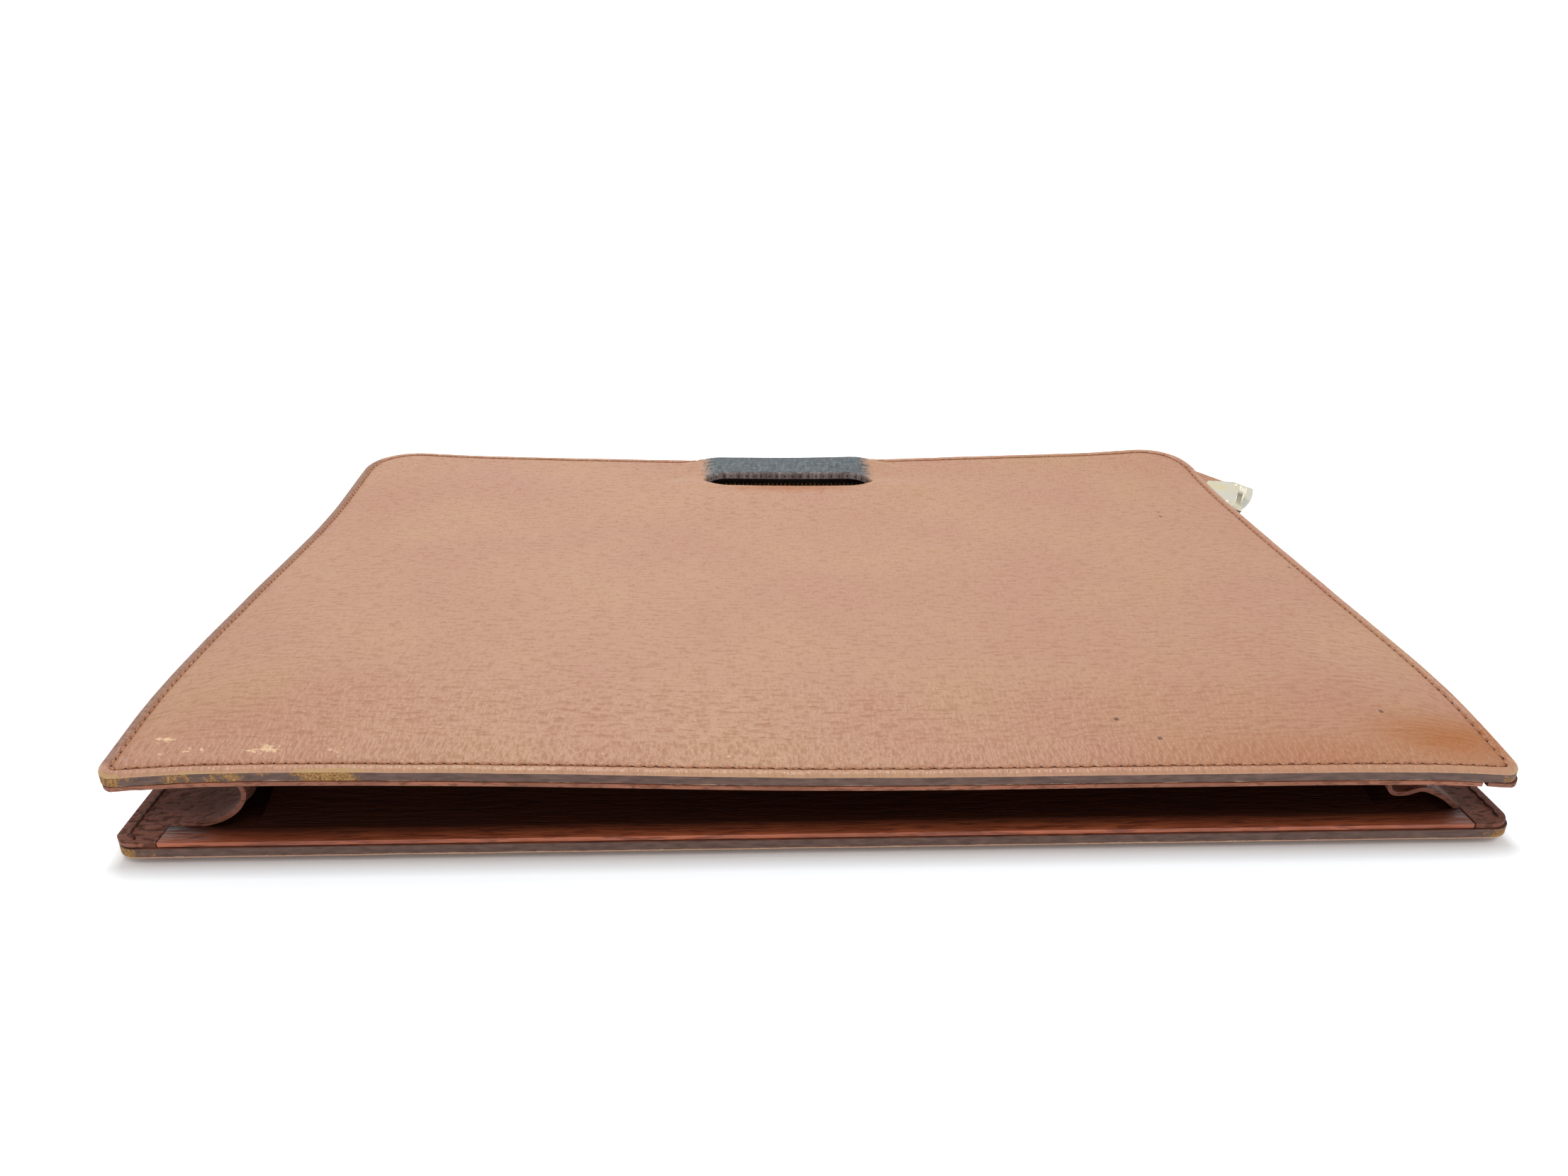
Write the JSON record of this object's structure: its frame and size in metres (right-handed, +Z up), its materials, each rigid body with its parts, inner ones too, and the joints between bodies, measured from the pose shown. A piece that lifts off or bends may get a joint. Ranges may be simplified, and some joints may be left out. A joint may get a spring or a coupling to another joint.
{
  "type": "leather zip-top business document bag with hand slot",
  "caption": "Flat leather document bag with two stiff panels, folded gussets, cut-out hand slot with padded grip, zip top and a lock tab.",
  "frame": {"origin": "on the underside of the back panel, at the middle of the two panels, at the height of the floor the bag lies on", "axes": "+X along the bag's width towards the lock tab, +Y from the bottom edge to the zipped top edge, +Z up through the two panels"},
  "size_m": [0.4508, 0.2992, 0.0372],
  "materials": {
    "panel_leather": "tan-brown calf with a fine boarded grain, semi-gloss, worn at the corners",
    "gusset_leather": "dark red-brown boarded calf, semi-gloss",
    "tab_leather": "tan-brown calf, semi-gloss",
    "zip_tape": "woven black tape",
    "zip_metal": "aged brass",
    "lock_metal": "pale gold-tinted nickel plate, worn"
  },
  "bodies": {
    "root": {"back_panel": "panel_leather", "front_panel": "panel_leather", "bottom_gusset": "gusset_leather", "side_gusset_left": "gusset_leather", "side_gusset_right": "gusset_leather", "zip_tape_back": "zip_tape", "zip_tape_front": "zip_tape", "zip_teeth": "zip_metal", "zip_slider": "zip_metal", "zip_end_tab": "tab_leather", "lock_plate": "lock_metal", "lock_staple": "lock_metal", "lock_rivet_1": "lock_metal", "lock_rivet_2": "lock_metal"}
  },
  "joints": []
}
